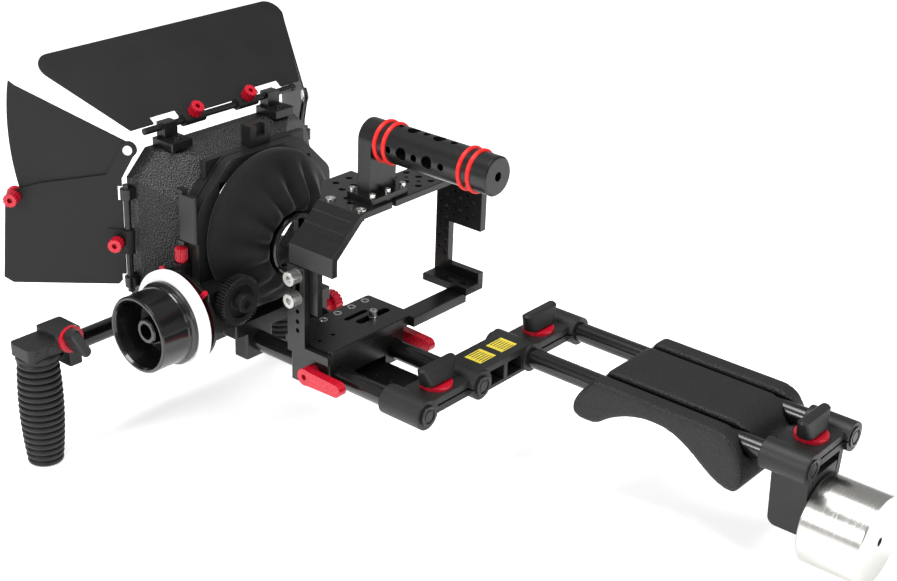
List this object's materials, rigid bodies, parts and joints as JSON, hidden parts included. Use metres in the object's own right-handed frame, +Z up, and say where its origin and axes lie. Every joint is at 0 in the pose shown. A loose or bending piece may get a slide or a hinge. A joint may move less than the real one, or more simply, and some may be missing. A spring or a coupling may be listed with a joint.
{
  "type": "cinema camera rig",
  "caption": "Shoulder rig on paired rods with camera cage, top handle, matte box, follow focus, hand grips, shoulder pad and round counterweight.",
  "frame": {"origin": "midway between the two front rods, on their axes, at the rear face of the offset bracket", "axes": "+X the operator's right, +Y forward along the lens, +Z up"},
  "size_m": [0.3272, 0.5932, 0.3143],
  "materials": {
    "black_anodised": "satin black anodised aluminium",
    "rod_black": "glossy black tube",
    "grey_plastic": "moulded grey-black nylon",
    "black_plastic": "textured black plastic",
    "red_anodised": "satin red anodised",
    "red_rubber": "red rubber",
    "black_rubber": "matt ribbed rubber",
    "grip_foam": "moulded foam skin",
    "fabric": "black cloth",
    "flag_black": "matt black sheet",
    "fan_black": "matt black sheet with a bright rivet",
    "steel": "bright steel",
    "polished": "polished",
    "disc_white": "white marking disc",
    "gloss_black": "gloss black"
  },
  "bodies": {
    "frame": {"offset_bracket": "grey_plastic", "front_rods": "rod_black", "rear_rods": "rod_black", "rod_end_caps": "black_plastic", "bracket_washers": "red_anodised"},
    "bracket_knob_front": {"bracket_knob_front": "grey_plastic"},
    "bracket_knob_rear": {"bracket_knob_rear": "grey_plastic"},
    "cage": {"rod_clamp": "black_anodised", "base_plate": "black_anodised", "right_side": "black_anodised", "left_bracket": "black_anodised", "left_cover": "black_anodised", "top_plates": "black_anodised", "handle_post": "black_anodised", "handle_tube": "black_anodised", "handle_rings": "red_rubber", "cage_screws": "steel", "thumbscrews": "steel"},
    "camera_screw": {"camera_screw": "steel"},
    "clamp_lever_left": {"clamp_lever_left": "red_anodised"},
    "clamp_lever_right": {"clamp_lever_right": "red_anodised"},
    "matte_box": {"hood": "black_plastic", "filter_stages": "black_plastic", "matte_clamp": "black_anodised", "flag_hinges": "black_anodised", "donut": "fabric", "lens_ring": "gloss_black"},
    "top_tray": {"top_tray": "black_plastic"},
    "side_latch": {"side_latch": "black_plastic"},
    "stage_lock": {"stage_lock_screw": "red_anodised"},
    "top_flag": {"top_flag": "flag_black", "top_flag_knobs": "red_anodised"},
    "left_flag": {"left_flag": "flag_black", "left_flag_knobs": "red_anodised"},
    "right_flag": {"right_flag": "flag_black", "right_flag_knobs": "red_anodised"},
    "left_fan": {"left_fan": "fan_black"},
    "right_fan": {"right_fan": "fan_black"},
    "handlebar": {"crossbar": "rod_black", "crossbar_clamp": "black_anodised"},
    "left_grip": {"left_grip_clamp": "grey_plastic", "left_grip": "black_rubber", "left_grip_washer": "red_anodised"},
    "left_grip_knob": {"left_grip_knob": "grey_plastic"},
    "right_grip": {"right_grip_clamp": "grey_plastic", "right_grip": "black_rubber", "right_grip_washer": "red_anodised"},
    "right_grip_knob": {"right_grip_knob": "grey_plastic"},
    "follow_focus": {"focus_bracket": "black_anodised", "gearbox": "black_anodised"},
    "focus_clamp_knob": {"focus_clamp_knob": "red_anodised"},
    "stop_ring": {"stop_ring": "red_anodised"},
    "focus_wheel": {"hand_wheel": "gloss_black", "marking_disc": "disc_white"},
    "drive_gear": {"drive_gear": "black_plastic"},
    "shoulder_pad": {"shoulder_pad": "grip_foam"},
    "rear_clamp": {"rear_clamp": "grey_plastic", "rear_washer": "red_anodised"},
    "rear_knob": {"rear_knob": "grey_plastic"},
    "counterweight": {"counterweight": "polished"}
  },
  "joints": [
    {"name": "bracket_knob_front_turn", "type": "hinge", "parent": "frame", "child": "bracket_knob_front", "pos_m": [0, 0.018, 0.01], "axis": [0, 0, 1], "continuous": true},
    {"name": "bracket_knob_rear_turn", "type": "hinge", "parent": "frame", "child": "bracket_knob_rear", "pos_m": [0.12, 0.018, 0.01], "axis": [0, 0, 1], "continuous": true},
    {"name": "cage_slide", "type": "slide", "parent": "frame", "child": "cage", "axis": [0, 1, 0], "range_m": [-0.006, 0.008]},
    {"name": "camera_screw_slide", "type": "slide", "parent": "cage", "child": "camera_screw", "axis": [1, 0, 0], "range_m": [-0.013, 0.013]},
    {"name": "clamp_lever_left_turn", "type": "hinge", "parent": "cage", "child": "clamp_lever_left", "pos_m": [-0.047, 0.098, 0.002], "axis": [1, 0, 0], "range_deg": [0, 60]},
    {"name": "clamp_lever_right_turn", "type": "hinge", "parent": "cage", "child": "clamp_lever_right", "pos_m": [0.047, 0.098, 0.002], "axis": [1, 0, 0], "range_deg": [0, 60]},
    {"name": "matte_box_slide", "type": "slide", "parent": "frame", "child": "matte_box", "axis": [0, 1, 0], "range_m": [0, 0.02]},
    {"name": "top_tray_slide", "type": "slide", "parent": "matte_box", "child": "top_tray", "axis": [0, 0, 1], "range_m": [0, 0.09]},
    {"name": "side_latch_turn", "type": "hinge", "parent": "matte_box", "child": "side_latch", "pos_m": [-0.0704, 0.2025, 0.1], "axis": [0, 0, 1], "range_deg": [-70, 0]},
    {"name": "stage_lock_turn", "type": "hinge", "parent": "matte_box", "child": "stage_lock", "pos_m": [-0.073, 0.201, 0.067], "axis": [0, 0, 1], "continuous": true},
    {"name": "top_flag_hinge", "type": "hinge", "parent": "matte_box", "child": "top_flag", "pos_m": [0, 0.2375, 0.157], "axis": [1, 0, 0], "range_deg": [-60, 45]},
    {"name": "left_flag_hinge", "type": "hinge", "parent": "matte_box", "child": "left_flag", "pos_m": [-0.0908, 0.2375, 0.08], "axis": [0, 0, 1], "range_deg": [-5, 50]},
    {"name": "right_flag_hinge", "type": "hinge", "parent": "matte_box", "child": "right_flag", "pos_m": [0.0908, 0.2375, 0.08], "axis": [0, 0, 1], "range_deg": [-50, 5]},
    {"name": "left_fan_turn", "type": "hinge", "parent": "left_flag", "child": "left_fan", "pos_m": [-0.08917, 0.23498, 0.1485], "axis": [0.8387, 0.5446, 0], "range_deg": [-15, 0]},
    {"name": "right_fan_turn", "type": "hinge", "parent": "right_flag", "child": "right_fan", "pos_m": [0.08917, 0.23498, 0.1485], "axis": [0.8387, -0.5446, 0], "range_deg": [-15, 0]},
    {"name": "handlebar_slide", "type": "slide", "parent": "frame", "child": "handlebar", "axis": [0, 1, 0], "range_m": [-0.02, 0.002]},
    {"name": "left_grip_swing", "type": "hinge", "parent": "handlebar", "child": "left_grip", "pos_m": [-0.121, 0.29, -0.017], "axis": [1, 0, 0], "range_deg": [-30, 45]},
    {"name": "right_grip_swing", "type": "hinge", "parent": "handlebar", "child": "right_grip", "pos_m": [0.092, 0.29, -0.017], "axis": [1, 0, 0], "range_deg": [-30, 45]},
    {"name": "left_grip_knob_turn", "type": "hinge", "parent": "left_grip", "child": "left_grip_knob", "pos_m": [-0.121, 0.272, -0.004], "axis": [0, 1, 0], "continuous": true},
    {"name": "right_grip_knob_turn", "type": "hinge", "parent": "right_grip", "child": "right_grip_knob", "pos_m": [0.092, 0.272, -0.004], "axis": [0, 1, 0], "continuous": true},
    {"name": "follow_focus_slide", "type": "slide", "parent": "frame", "child": "follow_focus", "axis": [0, 1, 0], "range_m": [-0.012, 0]},
    {"name": "focus_clamp_knob_turn", "type": "hinge", "parent": "follow_focus", "child": "focus_clamp_knob", "pos_m": [0.05, 0.173, 0], "axis": [1, 0, 0], "continuous": true},
    {"name": "stop_ring_turn", "type": "hinge", "parent": "follow_focus", "child": "stop_ring", "pos_m": [-0.081, 0.195, 0.027], "axis": [1, 0, 0], "range_deg": [-8, 8]},
    {"name": "focus_wheel_turn", "type": "hinge", "parent": "follow_focus", "child": "focus_wheel", "pos_m": [-0.09, 0.195, 0.027], "axis": [1, 0, 0], "range_deg": [-150, 150]},
    {"name": "drive_gear_turn", "type": "hinge", "parent": "follow_focus", "child": "drive_gear", "pos_m": [-0.056, 0.16, 0.044], "axis": [0, 1, 0], "range_deg": [-150, 150]},
    {"name": "shoulder_pad_slide", "type": "slide", "parent": "frame", "child": "shoulder_pad", "axis": [0, 1, 0], "range_m": [0, 0.04]},
    {"name": "rear_clamp_slide", "type": "slide", "parent": "frame", "child": "rear_clamp", "axis": [0, 1, 0], "range_m": [-0.004, 0.004]},
    {"name": "rear_knob_turn", "type": "hinge", "parent": "rear_clamp", "child": "rear_knob", "pos_m": [0.12, -0.214, 0.01], "axis": [0, 0, 1], "continuous": true},
    {"name": "counterweight_turn", "type": "hinge", "parent": "rear_clamp", "child": "counterweight", "pos_m": [0.12, -0.24, -0.052], "axis": [0, 1, 0], "continuous": true}
  ],
  "couplings": [
    {"joint": "drive_gear_turn", "follows": "focus_wheel_turn", "ratio": -1}
  ]
}
